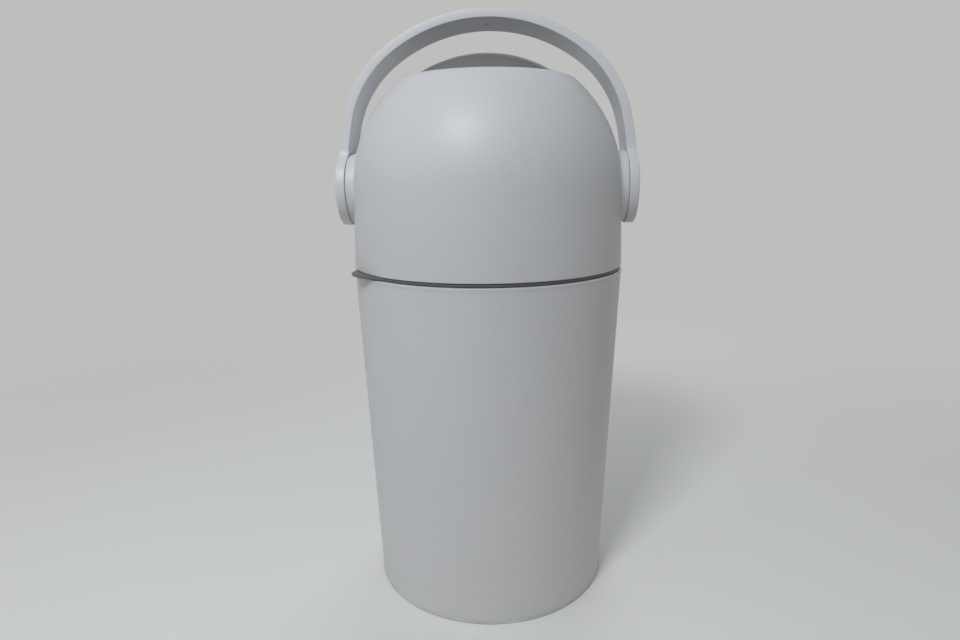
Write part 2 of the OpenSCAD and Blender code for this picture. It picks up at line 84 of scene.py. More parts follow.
head_z = bucket_h + ring_t
pivot_rise = 78 * mm
pivot_z = head_z + pivot_rise
mouth_rise = 107 * mm
rim_round = 20 * mm
dome_r = 137 * mm
dome_wall = 2.8 * mm
dome_setback = 0.6 * mm
dome_edge = 0.7 * mm
dome_base_r = bucket_top_r - dome_setback
ball_clear_r = 131.3 * mm
boss_r = 36 * mm
boss_x = 140.6 * mm
boss_bore_r = 15.1 * mm
boss_edge = 0.8 * mm
boss_root = 6.6 * mm                         # how far inside the dome's outer radius a boss starts
boss_bore_root = 3.6 * mm                    # and its bore
boss_root_wall = 4 * mm
window_inset = 6 * mm                        # how much smaller than the boss the dome's window is
window_in = 24 * mm                          # how far inside the dome's outer radius the window starts
window_out = 9 * mm                          # and how far outside it ends
boss_gap = 0.3 * mm                          # visible gap between a boss and its disc
mouth_lip = (95.1 * mm, 90.5 * mm)           # (r, z) where the dome's inside meets its mouth
lip_blend = 0.12                             # radians above the lip where the mouth's straight edge ends
lip_above = 0.1                              # radians above the lip where the ground-out arc starts
lip_below = 0.04                             # radians below the lip where the dome's inside goes on

disc_x = 141.4 * mm
disc_r = 37.5 * mm
disc_fillet = 14 * mm
band_w = 42.5 * mm
band_t = 9.3 * mm
band_edge = 0.9 * mm
lean = math.radians(7.2)
arm_straight = 5 * mm
arm_bend_r = 325 * mm
boss_relief = 1 * mm                         # radial gap between a boss and the relief inside the arm
arm_bend_angle = math.radians(11.1)
shoulder_r = 110 * mm
shoulder_angle = math.radians(40)
cap_r = 20 * mm
cap_t = 2 * mm
cap_clear = 0.15 * mm                        # gap round a cap in its recess
cap_sink = 0.12 * mm                         # how far a cap's rim lies under the disc's face
cap_floor_gap = 0.05 * mm
cap_round = 0.55 * mm
recess_lip = 0.45 * mm
relief_depth = 3 * mm                        # how far inside the boss's face the relief starts

knuckle_r = 5 * mm
hinge_y = 146.5 * mm
hinge_z = bucket_h + ring_t / 2
hinge_third = 10 * mm
knuckle_gap = 0.4 * mm
knuckle_web_h = 24 * mm
knuckle_lean = math.radians(30)              # where a web leaves its knuckle
bucket_web_root = 1.6 * mm                   # how far inside the bucket's top radius its web starts
dome_web_root = 1.8 * mm                     # the same for the dome's lower radius
ring_web_root = 4 * mm                       # and for the ring's radius
web_clear = 1.2 * mm                         # how far a web stays from the seam
pin_hole_r = 2.05 * mm

edge_tiny = 0.5 * mm
edge_small = 0.6 * mm
edge_soft = 0.9 * mm
edge_bead = 1.2 * mm
turns = 224                                  # segments round a large lathe piece
window_turns = 64                            # and round the smaller ones
boss_turns = 128
cap_turns = 96
gate_turns = 40
floor_turns = 96
dome_steps = 36                              # steps along the arcs of the dome's section
rim_steps = 14
lip_steps = 4
inside_steps = 24
disc_steps = 32                              # steps along the handle's outline and line
fillet_steps = 10
bend_steps = 4
crown_steps = 24

# ---------------------------------------------------------------- shader helpers


class Shader:
    """A material's node tree, with short calls for the nodes used here."""

    def __init__(self, name):
        self.material = bpy.data.materials.new(name)
        self.material.use_nodes = True
        self.tree = self.material.node_tree
        self.tree.nodes.clear()
        self.output = self.node("ShaderNodeOutputMaterial")
        self.bsdf = self.node("ShaderNodeBsdfPrincipled")
        self.join(self.bsdf.outputs["BSDF"], self.output.inputs["Surface"])
        self.place = self.node("ShaderNodeTexCoord").outputs["Object"]

    def node(self, kind):
        return self.tree.nodes.new(kind)

    def join(self, source, target):
        self.tree.links.new(source, target)

    def noise(self, scale, detail=3.0, roughness=0.5, vector=None):
        n = self.node("ShaderNodeTexNoise")
        n.inputs["Scale"].default_value = scale
        n.inputs["Detail"].default_value = detail
        n.inputs["Roughness"].default_value = roughness
        self.join(vector or self.place, n.inputs["Vector"])
        return n.outputs["Fac"]

    def specks(self, scale, radius, share):
        """1 inside sparse round specks, 0 elsewhere. A share of the cells holds one."""
        cells = self.node("ShaderNodeTexVoronoi")
        cells.inputs["Scale"].default_value = scale
        self.join(self.place, cells.inputs["Vector"])
        near = self.math("LESS_THAN", cells.outputs["Distance"], radius)
        split = self.node("ShaderNodeSeparateColor")
        self.join(cells.outputs["Color"], split.inputs["Color"])
        return self.math("MULTIPLY", near, self.math("LESS_THAN", split.outputs["Red"], share))

    def hairlines(self, scale, stretch, width, share):
        """1 along fine broken scratches that run mostly one way, 0 elsewhere."""
        turned = self.node("ShaderNodeMapping")
        turned.inputs["Rotation"].default_value = (0.35, 0.5, 0.2)
        turned.inputs["Scale"].default_value = stretch
        self.join(self.place, turned.inputs["Vector"])
        cells = self.node("ShaderNodeTexVoronoi")
        cells.feature = "DISTANCE_TO_EDGE"
        cells.inputs["Scale"].default_value = scale
        self.join(turned.outputs["Vector"], cells.inputs["Vector"])
        line = self.math("LESS_THAN", cells.outputs["Distance"], width)
        broken = self.remap(self.noise(23, 3, 0.6), 1 - share, 1.04 - share, 0, 1)
        return self.math("MULTIPLY", line, broken)

    def near(self, point, inner, outer):
        """1 within the inner distance of a point, falling to 0 at the outer distance."""
        n = self.node("ShaderNodeVectorMath")
        n.operation = "DISTANCE"
        self.join(self.place, n.inputs[0])
        n.inputs[1].default_value = point
        return self.remap(n.outputs["Value"], inner, outer, 1, 0)

    def height(self):
        n = self.node("ShaderNodeSeparateXYZ")
        self.join(self.place, n.inputs["Vector"])
        return n.outputs["Z"]

    def math(self, kind, a, b=None, clamp=False):
        n = self.node("ShaderNodeMath")
        n.operation = kind
        n.use_clamp = clamp
        for value, socket in ((a, n.inputs[0]), (b, n.inputs[1])):
            if value is None:
                continue
            if isinstance(value, (int, float)):
                socket.default_value = value
            else:
                self.join(value, socket)
        return n.outputs[0]

    def remap(self, value, low, high, to_low, to_high):
        n = self.node("ShaderNodeMapRange")
        n.interpolation_type = "SMOOTHSTEP"
        self.join(value, n.inputs["Value"])
        numbers = {"From Min": low, "From Max": high, "To Min": to_low, "To Max": to_high}
        for name, number in numbers.items():
            n.inputs[name].default_value = number
        return n.outputs["Result"]

    def mix(self, share, a, b):
        n = self.node("ShaderNodeMix")
        n.data_type = "RGBA"
        self.join(share, n.inputs["Factor"])
        for value, socket in ((a, n.inputs["A"]), (b, n.inputs["B"])):
            if isinstance(value, tuple):
                socket.default_value = (*value, 1)
            else:
                self.join(value, socket)
        return n.outputs["Result"]

    def bump(self, height, strength, distance, before=None):
        n = self.node("ShaderNodeBump")
        n.inputs["Strength"].default_value = strength
        n.inputs["Distance"].default_value = distance
        self.join(height, n.inputs["Height"])
        if before is not None:
            self.join(before, n.inputs["Normal"])
        return n.outputs["Normal"]


def shade(colour, amount):
    return tuple(min(1.0, c * amount) for c in colour)


def moulded_plastic(name, colour, roughness, grain, scuff=0.0, edge_shade_and_grime=(), spots=()):
    """Spark-eroded plastic: fine grain, faint clouds in tone and gloss, scratches, marks, dust and
    painted shade.

    Each entry (z, reach, amount) of the edge lines darkens a band at that height: painted shade where
    parts meet or where the bin stands on the floor, with some soiling.
    Each spot is the (x, y, z) of a dark speck.
    """
    s = Shader(name)
    clouds = s.remap(s.noise(7, 4, 0.55), 0.3, 0.7, 0, 1)
    tone = s.mix(clouds, shade(colour, 0.985), shade(colour, 1.012))
    mottle = s.remap(s.noise(420, 3, 0.6), 0.35, 0.65, 0, 1)
    tone = s.mix(mottle, tone, s.mix(clouds, shade(colour, 0.965), shade(colour, 0.995)))
    marks = s.remap(s.noise(38, 6, 0.68), 0.62, 0.76, 0, scuff)
    tone = s.mix(marks, tone, shade(colour, 0.72))
    scratches = s.hairlines(9, (1, 1, 4.5), 0.0035, 0.42)
    tone = s.mix(s.math("MULTIPLY", scratches, 0.12), tone, shade(colour, 0.8))
    dust_and_edge_shade = s.math("MULTIPLY", s.specks(55, 0.035, 0.05), 0.5)
    for spot in spots:
        dust_and_edge_shade = s.math("MAXIMUM", dust_and_edge_shade, s.near(spot, 0.0003, 0.0007))
    # painted shade in bands along seams and the floor's edge, with some soiling, joined to the dust
    # specks
    for z, reach, amount in edge_shade_and_grime:
        away = s.math("ABSOLUTE", s.math("SUBTRACT", s.height(), z))
        line = s.remap(away, 0.0, reach, amount, 0)
        broken = s.remap(s.noise(26, 5, 0.65), 0.3, 0.62, 0.25, 1)
        dust_and_edge_shade = s.math("MAXIMUM", dust_and_edge_shade, s.math("MULTIPLY", line, broken))
    # darkens the dust specks and the painted shade bands
    tone = s.mix(dust_and_edge_shade, tone, shade(colour, 0.5))
    s.join(tone, s.bsdf.inputs["Base Color"])
    gloss = s.remap(s.noise(16, 5, 0.6), 0.3, 0.7, roughness - 0.03, roughness + 0.04)
    gloss = s.math("ADD", gloss, s.math("MULTIPLY", marks, -0.25))
    gloss = s.math("ADD", gloss, s.math("MULTIPLY", scratches, -0.08))
    s.join(gloss, s.bsdf.inputs["Roughness"])
    fine = s.bump(s.noise(2300, 2, 0.6), grain, 0.00008)
    pitted = s.bump(s.noise(620, 2, 0.5), grain * 0.5, 0.00012, fine)
    waves = s.bump(s.noise(21, 2, 0.4), 0.05, 0.0006, pitted)
    s.join(waves, s.bsdf.inputs["Normal"])
    s.bsdf.inputs["IOR"].default_value = 1.49
    return s.material


def seal_rubber():
    s = Shader("seal_rubber")
    tone = s.mix(s.noise(90, 5, 0.7), (0.018, 0.018, 0.019), (0.034, 0.034, 0.036))
    s.join(tone, s.bsdf.inputs["Base Color"])
    s.join(s.remap(s.noise(140, 4, 0.6), 0.3, 0.7, 0.55, 0.72), s.bsdf.inputs["Roughness"])
    s.join(s.bump(s.noise(1500, 3, 0.6), 0.25, 0.00006), s.bsdf.inputs["Normal"])
    return s.material


def plated_steel():
    s = Shader("plated_steel")
    streaks = s.node("ShaderNodeMapping")
    streaks.inputs["Scale"].default_value = (0.08, 1, 1)
    s.join(s.place, streaks.inputs["Vector"])
    lines = s.noise(900, 4, 0.6, streaks.outputs["Vector"])
    s.join(s.mix(lines, (0.42, 0.43, 0.45), (0.6, 0.61, 0.63)), s.bsdf.inputs["Base Color"])
    s.join(s.remap(lines, 0.3, 0.7, 0.24, 0.4), s.bsdf.inputs["Roughness"])
    s.join(s.bump(lines, 0.12, 0.00004), s.bsdf.inputs["Normal"])
    s.bsdf.inputs["Metallic"].default_value = 1
    return s.material


WHITE = (0.695, 0.708, 0.732)
GREY = (0.156, 0.156, 0.166)
# darker than GREY, though the ring is the same grey plastic: painted shade for the groove its face
# stands back in
SHADED_RING_GREY = (0.142, 0.142, 0.150)
NYLON = (0.60, 0.59, 0.56)

body_speck = (0.0027, -0.1331, 0.1771)
# the bucket darkens in bands at its base and top edge: painted shade where it stands on the floor and
# meets the ring, with some soiling
bucket_plastic = moulded_plastic("bucket_plastic", WHITE, 0.45, 0.35, 0.05,
                                 edge_shade_and_grime=((0.0, 0.007, 0.45), (bucket_h, 0.0016, 0.25)),
                                 spots=(body_speck,))
# the dome darkens in a band at its lower edge: painted shade above the ring, with some soiling
dome_plastic = moulded_plastic("dome_plastic", WHITE, 0.44, 0.35, 0.04, edge_shade_and_grime=((head_z, 0.0016, 0.25),))
white_plastic = moulded_plastic("white_plastic", WHITE, 0.44, 0.35, 0.05)
handle_plastic = moulded_plastic("handle_plastic", shade(WHITE, 1.01), 0.40, 0.3, 0.05)
grey_plastic = moulded_plastic("grey_plastic", GREY, 0.40, 0.3, 0.12)
# the ring's finish uses the darker grey, with painted shade for its groove
shaded_ring_plastic = moulded_plastic("shaded_ring_plastic", SHADED_RING_GREY, 0.42, 0.3, 0.12)
bush_plastic = moulded_plastic("bush_plastic", NYLON, 0.4, 0.2, 0.06)

finish = {
    "white_plastic": white_plastic,
    "grey_plastic": grey_plastic,
    "bush_plastic": bush_plastic,
    "seal_rubber": seal_rubber(),
    "steel": plated_steel(),
}

# ---------------------------------------------------------------- mesh helpers


def set_material(piece, material):
    piece.data.materials.clear()
    piece.data.materials.append(material)


def shade_smooth(mesh, angle=32):
    """Smooth shading that keeps edges sharper than the angle."""
    mesh.polygons.foreach_set("use_smooth", [True] * len(mesh.polygons))
    mesh.set_sharp_from_angle(angle=math.radians(angle))
    mesh.update()


def piece_from(name, points, faces):
    mesh = bpy.data.meshes.new(name)
    mesh.from_pydata([tuple(p) for p in points], [], faces)
    bm = bmesh.new()
    bm.from_mesh(mesh)
    bmesh.ops.remove_doubles(bm, verts=bm.verts, dist=1e-6)
    bmesh.ops.dissolve_degenerate(bm, edges=bm.edges, dist=1e-6)
    bmesh.ops.recalc_face_normals(bm, faces=bm.faces)
    bm.to_mesh(mesh)
    bm.free()
    shade_smooth(mesh)
    piece = bpy.data.objects.new(name, mesh)
    scene.collection.objects.link(piece)
    return piece


def arc(centre, radius, start, end, steps):
    """Points of an arc in the section plane, with angles in radians."""
    return [(centre[0] + radius * math.cos(start + (end - start) * i / steps),
             centre[1] + radius * math.sin(start + (end - start) * i / steps))
            for i in range(steps + 1)]


def rounded(corners, steps=5):
    """Section through (x, y) or (x, y, r) corners. A corner with an r gets an arc of that radius."""
    out = []
    for i, corner in enumerate(corners):
        here = Vector(corner[:2])
        if len(corner) < 3 or not corner[2]:
            out.append(tuple(here))
            continue
        before = (Vector(corners[i - 1][:2]) - here).normalized()
        after = (Vector(corners[(i + 1) % len(corners)][:2]) - here).normalized()
        half = before.angle(after) / 2
        centre = here + (before + after).normalized() * corner[2] / math.sin(half)
        first = here + before * corner[2] / math.tan(half) - centre
        last = here + after * corner[2] / math.tan(half) - centre
        swing = first.angle_signed(last)
        for k in range(steps + 1):
            turn = Matrix.Rotation(-swing * k / steps, 2)
            out.append(tuple(centre + turn @ first))
    return out


def sweep(name, sections, angles, axis="Z"):
    """Skins closed (radius, height) sections at angles round Z, or round X with height along X."""
    points = []
    for section, angle in zip(sections, angles):
        c, s = math.cos(angle), math.sin(angle)
        for r, h in section:
            points.append((r * c, r * s, h) if axis == "Z" else (h, r * c, r * s))
    n = len(sections[0])
    faces = []
    for i in range(len(sections)):
        j = (i + 1) % len(sections)
        for k in range(n):
            m = (k + 1) % n
            if sections[i][k][0] < 1e-9 and sections[i][m][0] < 1e-9:
                continue
            faces.append((i * n + k, i * n + m, j * n + m, j * n + k))
    return piece_from(name, points, faces)


def lathe(name, section, segments=turns, axis="Z"):
    """Turns a closed (radius, height) section round Z, or round X with height along X."""
    angles = [2 * math.pi * i / segments for i in range(segments)]
    return sweep(name, [section] * segments, angles, axis)


def join_pieces(main, *others):
    """Moves the other meshes into the main piece and shades it again."""
    bm = bmesh.new()
    for piece in (main, *others):
        bm.from_mesh(piece.data)
    bm.to_mesh(main.data)
    bm.free()
    shade_smooth(main.data)
    for piece in others:
        mesh = piece.data
        bpy.data.objects.remove(piece)
        bpy.data.meshes.remove(mesh)
    return main


def cut(piece, *cutters):
    """Takes the cutters out of the piece."""
    for cutter in cutters:
        change = piece.modifiers.new("cut", "BOOLEAN")
        change.operation = "DIFFERENCE"
        change.solver = "EXACT"
        change.object = cutter
        bpy.context.view_layer.update()
        graph = bpy.context.evaluated_depsgraph_get()
        mesh = bpy.data.meshes.new_from_object(piece.evaluated_get(graph))
        piece.modifiers.clear()
        old = piece.data
        piece.data = mesh
        bpy.data.meshes.remove(old)
        bpy.data.objects.remove(cutter)
    shade_smooth(piece.data)
    return piece


def shifted(piece, x=0.0, y=0.0, z=0.0):
    piece.data.transform(Matrix.Translation((x, y, z)))
    return piece


def leaned(piece):
    """Takes a piece from the handle's upright frame at the axis to its place in the bin."""
    piece.data.transform(Matrix.Translation((0, 0, pivot_z)) @ Matrix.Rotation(-lean, 4, "X"))
    return piece


def place(piece, body, slot, material, *replaced):
    set_material(piece, material)
    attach(piece, body)
    if replaced:
        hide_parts(*replaced)
    return piece


def knuckle(name, x0, x1, web):
    """Hinge knuckle along X with a hole for the pin. The web's corners are (y, z) points."""
    start = math.atan2(web[-1][1] - hinge_z, web[-1][0] - hinge_y)
    end = math.atan2(web[0][1] - hinge_z, web[0][0] - hinge_y)
    if end > start:
        end -= 2 * math.pi
    outline = arc((hinge_y, hinge_z), knuckle_r, start, end, 28) + list(web[1:-1])
    bm = bmesh.new()
    face = bm.faces.new([bm.verts.new((x0, y, z)) for y, z in outline])
    grown = bmesh.ops.extrude_face_region(bm, geom=[face])
    far = [v for v in grown["geom"] if isinstance(v, bmesh.types.BMVert)]
    bmesh.ops.translate(bm, verts=far, vec=(x1 - x0, 0, 0))
    bmesh.ops.recalc_face_normals(bm, faces=bm.faces)
    ends = [e for e in bm.edges if abs(e.verts[0].co.x - e.verts[1].co.x) < 1e-7]
    bmesh.ops.bevel(bm, geom=ends, offset=edge_small, segments=3, affect="EDGES", profile=0.5)
    mesh = bpy.data.meshes.new(name)
    bm.to_mesh(mesh)
    bm.free()
    piece = bpy.data.objects.new(name, mesh)
    scene.collection.objects.link(piece)
    hole = [(0, x0 - mm), (pin_hole_r, x0 - mm), (pin_hole_r, x1 + mm), (0, x1 + mm)]
    drill = lathe(name + "_drill", hole, 32, axis="X")
    return cut(piece, shifted(drill, 0, hinge_y, hinge_z))


# ---------------------------------------------------------------- camera

camera_place = Vector((27.8, -691.4, 446.6)) * mm
camera_yaw = math.radians(3.07)
camera_pitch = math.radians(13.16)
camera_roll = math.radians(-0.74)
picture_w = 960
focal_px = 650
sensor_mm = 36


def make_camera():
    forward = Vector((-math.sin(camera_yaw) * math.cos(camera_pitch),
                      math.cos(camera_yaw) * math.cos(camera_pitch), -math.sin(camera_pitch)))
    level = Vector((math.cos(camera_yaw), math.sin(camera_yaw), 0))
    upright = level.cross(forward)
    right = math.cos(camera_roll) * level + math.sin(camera_roll) * upright
    up = -math.sin(camera_roll) * level + math.cos(camera_roll) * upright
    data = bpy.data.cameras.new("camera")
    data.sensor_fit = "HORIZONTAL"
    data.sensor_width = sensor_mm
    data.lens = focal_px / picture_w * sensor_mm
    data.clip_start = 0.01
    camera = bpy.data.objects.new("camera", data)
    turn = Matrix((right, up, -forward)).transposed()
    camera.matrix_world = Matrix.Translation(camera_place) @ turn.to_4x4()
    scene.collection.objects.link(camera)
    scene.camera = camera


make_camera()

# ---------------------------------------------------------------- bucket

lip_reach = 6.2 * mm
lip_h = 1.5 * mm
lip_step = 0.5 * mm
foot_line_z = 2.2 * mm
foot_line_top = foot_line_z + 0.5 * mm
foot_line_step = 0.35 * mm
foot_line_round = 0.15 * mm
flare_steps = 5


def bucket_wall_r(inset, z):
    slope = (bucket_top_r - bucket_base_r) / bucket_h
    return bucket_base_r - inset * math.sqrt(1 + slope * slope) + slope * z


def make_bucket():
    floor_z = base_groove + base_plate
    foot_r = bucket_base_r - base_foot_w
    flare = []                               # the wall curves out to a small lip at the top
    for i in range(flare_steps + 1):
        t = i / flare_steps
        z = bucket_h - lip_reach + (lip_reach - lip_h) * t
        flare.append((bucket_wall_r(lip_step * (1 - t * t), z), z))
    section = rounded([
        (0, 0), (base_pad_r, 0, edge_small), (base_pad_r, base_groove), (foot_r, base_groove),
        (foot_r, 0, edge_small), (bucket_base_r, 0, edge_soft),
        (bucket_wall_r(0, foot_line_z), foot_line_z, foot_line_round),
        (bucket_wall_r(foot_line_step, foot_line_top), foot_line_top),
        *flare, (bucket_top_r, bucket_h, edge_soft),
        (bead_r, bucket_h, edge_bead), (bead_r, bucket_h - bead_h, edge_small),
        (bucket_wall_r(bucket_wall, bucket_h - bead_slope_h), bucket_h - bead_slope_h),
        (bucket_wall_r(bucket_wall, floor_z), floor_z, base_inner_round), (0, floor_z)])
    bucket = lathe("bucket_shell", section)
    root_y = bucket_top_r - bucket_web_root
    web = [(hinge_y + knuckle_r * math.cos(knuckle_lean), hinge_z - knuckle_r * math.sin(knuckle_lean)),
           (root_y, bucket_h - knuckle_web_h), (root_y, bucket_h - web_clear),
           (hinge_y - knuckle_r, hinge_z)]
    near, far = 2 * hinge_third + knuckle_gap, 3 * hinge_third
    leaves = [knuckle("bucket_knuckle", side * near, side * far, web) for side in (-1, 1)]
    place(join_pieces(bucket, *leaves), "bucket", "white_plastic", bucket_plastic, "bucket")


make_bucket()

# ---------------------------------------------------------------- bag ring


def ring_edge_r(angle):
    """Radius of the bag ring's outer edge, with the finger tab: a bell that is short behind its tip."""
    face_r = ring_r - face_inset
    off = angle - tab_angle
    share = off / (tab_front if off > 0 else tab_back)
    if abs(share) >= 1:
        return face_r
    return face_r + (tab_tip_r - face_r) * (1 + math.cos(math.pi * share)) / 2


def make_bag_ring():
    angles = [2 * math.pi * i / turns for i in range(turns)]
    first, last = tab_angle - tab_margin * tab_back, tab_angle + tab_margin * tab_front
    angles = [a for a in angles if not first < a < last]
    angles = sorted(angles + [first + (last - first) * (i + 0.5) / tab_steps for i in range(tab_steps)])
    low, top = reveal_low, ring_t - reveal_top
    neck = ring_r - reveal
    sections = []
    for angle in angles:
        edge = ring_edge_r(angle)
        profile = rounded([
            (ring_in_r, 0, edge_tiny), (ring_in_r, ring_t, edge_tiny), (neck, ring_t), (neck, top),
            (edge, top, edge_soft), (edge, low, edge_soft), (neck, low), (neck, 0), (skirt_r, 0),
            (skirt_r - skirt_draft, -skirt_h, edge_soft),
            (skirt_r - skirt_draft - skirt_wall, -skirt_h, edge_soft), (skirt_r - skirt_wall, 0)])
        sections.append([(r, z + bucket_h) for r, z in profile])
    ring = sweep("bag_ring_body", sections, angles)
    leaf_y = math.sqrt(knuckle_r ** 2 - (ring_t / 2) ** 2)
    root_y = ring_r - ring_web_root
    web = [(hinge_y - leaf_y, bucket_h), (root_y, bucket_h), (root_y, head_z),
           (hinge_y - leaf_y, head_z)]
    near, far = hinge_third + knuckle_gap, 2 * hinge_third
    leaves = [knuckle("ring_knuckle", side * near, side * far, web) for side in (-1, 1)]
    # the ring's finish is the darker grey, with painted shade for its groove
    place(join_pieces(ring, *leaves), "bag_ring", "grey_plastic", shaded_ring_plastic, "bag_ring")


make_bag_ring()

# ---------------------------------------------------------------- dome


def make_dome():
    drop = head_z - pivot_z
    slant = math.hypot(dome_base_r, drop)
    tangent = math.acos(dome_r / slant) - math.atan2(-drop, dome_base_r)
    round_z = mouth_rise - rim_round
    round_x = math.sqrt((dome_r - rim_round) ** 2 - round_z ** 2)
    round_angle = math.atan2(round_z, round_x)
    inner_r = dome_r - dome_wall
    mouth_r = math.sqrt(ball_clear_r ** 2 - mouth_rise ** 2)
    inner_base_r = dome_base_r - dome_wall / math.cos(tangent)
    lip_angle = math.atan2(mouth_lip[1], mouth_lip[0])
    section = rounded([(inner_base_r, drop, edge_tiny), (dome_base_r, drop, dome_edge),
                       (dome_r * math.cos(tangent), dome_r * math.sin(tangent))])
    section += arc((0, 0), dome_r, tangent, round_angle, dome_steps)[1:]
    section += arc((round_x, round_z), rim_round, round_angle, math.pi / 2, rim_steps)[1:]
    edge_end = lip_angle + lip_blend
    section += rounded([(round_x, mouth_rise), (mouth_r, mouth_rise, edge_soft),
                        (ball_clear_r * math.cos(edge_end), ball_clear_r * math.sin(edge_end))])[1:]
    section += arc((0, 0), ball_clear_r, lip_angle + lip_above, lip_angle, lip_steps)
    section += arc((0, 0), inner_r, lip_angle - lip_below, tangent, inside_steps)
    dome = lathe("dome_outer", [(r, z + pivot_z) for r, z in section])
    window_r = boss_r - window_inset
    window = [(0, dome_r - window_in), (window_r, dome_r - window_in), (window_r, dome_r + window_out),
              (0, dome_r + window_out)]
    cutters, bosses = [], []
    boss_face = disc_x - boss_gap
    for side in (-1, 1):
        hole = lathe("window", [(r, side * x) for r, x in window], window_turns, axis="X")
        cutters.append(shifted(hole, z=pivot_z))
        ring = rounded([(boss_r, dome_r - boss_root), (boss_r, boss_face, boss_edge),
                        (boss_bore_r, boss_face, edge_small), (boss_bore_r, dome_r - boss_bore_root),
                        (boss_r - boss_root_wall, dome_r - boss_root)])
        boss = lathe("boss", [(r, side * x) for r, x in ring], boss_turns, axis="X")
        bosses.append(shifted(boss, z=pivot_z))
    cut(dome, *cutters)
    root_y = dome_base_r - dome_web_root
    web = [(hinge_y - knuckle_r, hinge_z), (root_y, head_z + web_clear),
           (root_y, head_z + knuckle_web_h),
           (hinge_y + knuckle_r * math.cos(knuckle_lean), hinge_z + knuckle_r * math.sin(knuckle_lean))]
    leaf = knuckle("dome_knuckle", -hinge_third, hinge_third, web)
    place(join_pieces(dome, leaf, *bosses), "head", "white_plastic", dome_plastic, "dome_shell")


make_dome()

# ---------------------------------------------------------------- handle

gate_nub_r = 0.7 * mm                        # moulding dimple under the crown, with a nub in its middle
gate_nub_z = 0.35 * mm
gate_nub_foot_r = 0.9 * mm
gate_depth = 0.8 * mm
gate_floor_r = 1.9 * mm
gate_edge_r = 2.9 * mm
gate_out_r = 3.2 * mm


def handle_line():
    """Points (x, z, outward angle) up the right arm to the crown, from the bottom of the disc."""
    arm_x = disc_x + band_t / 2
    bend_x = arm_x - arm_bend_r
    shoulder_x = bend_x + (arm_bend_r - shoulder_r) * math.cos(arm_bend_angle)
    shoulder_z = arm_straight + (arm_bend_r - shoulder_r) * math.sin(arm_bend_angle)
    crown_angle = arm_bend_angle + shoulder_angle
    crown_r = shoulder_r + shoulder_x / math.cos(crown_angle)
    crown_z = shoulder_z - (crown_r - shoulder_r) * math.sin(crown_angle)

    def at(z):
        """Place and outward angle on the straight part or the gentle bend."""
        angle = math.asin(max(0.0, z - arm_straight) / arm_bend_r)
        return bend_x + arm_bend_r * math.cos(angle), angle

    reach = disc_r + disc_fillet
    fillet_y = band_w / 2 + disc_fillet
    fillet_z = math.sqrt(reach ** 2 - fillet_y ** 2)
    meet = math.atan2(fillet_z, fillet_y)
    outline = []                             # (z, half width, direction of the outline's normal)
    for i in range(disc_steps + 1):
        a = -math.pi / 2 + (meet + math.pi / 2) * i / disc_steps
        outline.append((disc_r * math.sin(a), disc_r * math.cos(a), a))
    for i in range(1, fillet_steps + 1):
        a = meet - meet * i / fillet_steps
        outline.append((fillet_z - disc_fillet * math.sin(a), fillet_y - disc_fillet * math.cos(a), a))
    stations = [(*at(z), z, w, a) for z, w, a in outline]
    first = math.asin((fillet_z - arm_straight) / arm_bend_r)
    for i in range(1, bend_steps + 1):
        a = first + (arm_bend_angle - first) * i / bend_steps
        stations.append((bend_x + arm_bend_r * math.cos(a), a,
                         arm_straight + arm_bend_r * math.sin(a), band_w / 2, 0.0))
    for i in range(1, crown_steps + 1):
        a = arm_bend_angle + shoulder_angle * i / crown_steps
        stations.append((shoulder_x + shoulder_r * math.cos(a), a,
                         shoulder_z + shoulder_r * math.sin(a), band_w / 2, 0.0))
    for i in range(1, crown_steps + 1):
        a = crown_angle + (math.pi / 2 - crown_angle) * i / crown_steps
        stations.append((crown_r * math.cos(a), a, crown_z + crown_r * math.sin(a), band_w / 2, 0.0))
    return stations


